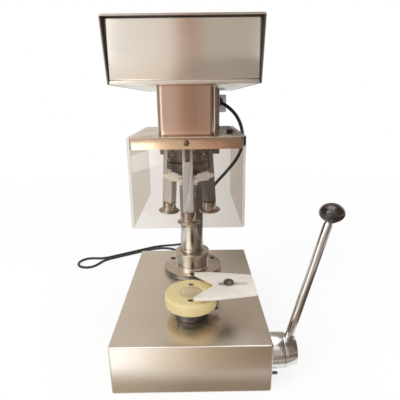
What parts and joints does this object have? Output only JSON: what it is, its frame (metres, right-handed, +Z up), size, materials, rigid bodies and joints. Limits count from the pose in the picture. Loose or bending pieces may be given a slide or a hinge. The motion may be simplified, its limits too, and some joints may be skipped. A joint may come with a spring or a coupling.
{
  "type": "capping machine",
  "caption": "Bench-top capping machine: steel base and column, lever-lifted bottle rest with a V locator, and a belt-driven head with rollers on spinning arms behind a clear guard.",
  "frame": {"origin": "middle of the base's underside, on the surface the machine stands on", "axes": "+Z up, -Y towards the operator in front, +X to the right, the side of the lever"},
  "size_m": [0.4938, 0.5197, 0.4671],
  "materials": {
    "satin_steel": "satin",
    "polished_steel": "polished",
    "grey_steel": "machined",
    "dark_steel": "blackened",
    "cream_nylon": "turned nylon",
    "white_plastic": "matt",
    "clear_plastic": "clear",
    "black_plastic": "gloss",
    "grey_plastic": "matt",
    "grey_paint": "satin paint",
    "black_rubber": "matt"
  },
  "bodies": {
    "frame": {"base_cover": "satin_steel", "bottom_plate": "satin_steel", "column_support_plate": "grey_steel", "post_flange": "satin_steel", "flange_screw_1": "dark_steel", "flange_screw_2": "dark_steel", "flange_screw_3": "dark_steel", "post": "polished_steel", "lift_bush": "dark_steel", "lever_boss": "polished_steel", "shaft_support": "grey_steel", "earth_stud": "dark_steel", "arm_plate": "satin_steel", "top_cover": "satin_steel", "front_panel": "satin_steel", "neck_cover": "satin_steel", "rear_housing": "satin_steel", "column_clamp": "grey_steel", "tray": "satin_steel", "guard": "clear_plastic", "guard_screw": "dark_steel", "tray_screw": "black_plastic", "spindle_housing": "grey_steel", "bearing_lower": "polished_steel", "bearing_upper": "polished_steel", "drive_belt": "black_rubber", "motor": "grey_paint", "switch_box": "grey_plastic", "cable_gland": "black_rubber", "cord_lead": "black_rubber", "cord_coil": "black_rubber", "coil_tie": "black_plastic", "plug": "black_plastic"},
    "lever": {"lever_shaft": "polished_steel", "lever_pinion": "grey_steel", "lever_hub": "polished_steel", "lever_rod": "polished_steel", "lever_knob": "black_plastic"},
    "lift": {"lift_shaft": "polished_steel", "bottle_rest": "cream_nylon", "rest_insert": "satin_steel", "rest_screw_1": "dark_steel", "rest_screw_2": "dark_steel", "locator_bracket": "satin_steel", "locator_bolt": "dark_steel"},
    "locator": {"locator_plate": "white_plastic"},
    "head": {"spindle": "polished_steel", "spindle_pulley": "grey_steel", "head_hub": "grey_steel"},
    "plunger": {"press_cone": "polished_steel", "press_rod": "polished_steel"},
    "arm_1": {"roller_arm_1": "grey_steel"},
    "arm_2": {"roller_arm_2": "grey_steel"},
    "arm_3": {"roller_arm_3": "grey_steel"},
    "roller_1": {"seaming_roller_1": "polished_steel"},
    "roller_2": {"seaming_roller_2": "polished_steel"},
    "roller_3": {"seaming_roller_3": "polished_steel"},
    "motor_rotor": {"motor_shaft": "polished_steel", "motor_pulley": "grey_steel"},
    "switch": {"rocker": "black_plastic"}
  },
  "joints": [
    {"name": "lever_turn", "type": "hinge", "parent": "frame", "child": "lever", "pos_m": [0, -0.116, 0.035], "axis": [1, 0, 0], "range_deg": [0, 75]},
    {"name": "lift_slide", "type": "slide", "parent": "frame", "child": "lift", "axis": [0, 0, 1], "range_m": [0, 0.024]},
    {"name": "locator_slide", "type": "slide", "parent": "lift", "child": "locator", "axis": [1, 0, 0], "range_m": [-0.022, 0.01]},
    {"name": "head_spin", "type": "hinge", "parent": "frame", "child": "head", "pos_m": [0, -0.08, 0.3], "axis": [0, 0, 1], "continuous": true},
    {"name": "cone_slide", "type": "slide", "parent": "head", "child": "plunger", "axis": [0, 0, 1], "range_m": [0, 0.01]},
    {"name": "arm_1_swing", "type": "hinge", "parent": "head", "child": "arm_1", "pos_m": [0, -0.11, 0.286], "axis": [1, 0, 0], "range_deg": [0, 9.05]},
    {"name": "arm_2_swing", "type": "hinge", "parent": "head", "child": "arm_2", "pos_m": [0.02598, -0.065, 0.286], "axis": [-0.5, 0.866, 0], "range_deg": [0, 9.05]},
    {"name": "arm_3_swing", "type": "hinge", "parent": "head", "child": "arm_3", "pos_m": [-0.02598, -0.065, 0.286], "axis": [-0.5, -0.866, 0], "range_deg": [0, 9.05]},
    {"name": "roller_1_spin", "type": "hinge", "parent": "arm_1", "child": "roller_1", "pos_m": [0, -0.11276, 0.2466], "axis": [0, 0.0698, 0.9976], "continuous": true},
    {"name": "roller_2_spin", "type": "hinge", "parent": "arm_2", "child": "roller_2", "pos_m": [0.02837, -0.06362, 0.2466], "axis": [-0.0604, -0.0349, 0.9976], "continuous": true},
    {"name": "roller_3_spin", "type": "hinge", "parent": "arm_3", "child": "roller_3", "pos_m": [-0.02837, -0.06362, 0.2466], "axis": [0.0604, -0.0349, 0.9976], "continuous": true},
    {"name": "motor_spin", "type": "hinge", "parent": "frame", "child": "motor_rotor", "pos_m": [0, 0.15, 0.4], "axis": [0, 0, 1], "continuous": true},
    {"name": "rocker_tilt", "type": "hinge", "parent": "frame", "child": "switch", "pos_m": [0.0665, 0.15, 0.378], "axis": [0, 1, 0], "range_deg": [0, 16]}
  ],
  "couplings": [
    {"joint": "lift_slide", "follows": "lever_turn", "m_per_rad": 0.018},
    {"joint": "arm_1_swing", "follows": "cone_slide", "rad_per_m": 15.708},
    {"joint": "arm_2_swing", "follows": "cone_slide", "rad_per_m": 15.708},
    {"joint": "arm_3_swing", "follows": "cone_slide", "rad_per_m": 15.708},
    {"joint": "motor_spin", "follows": "head_spin", "ratio": 2.5957}
  ]
}
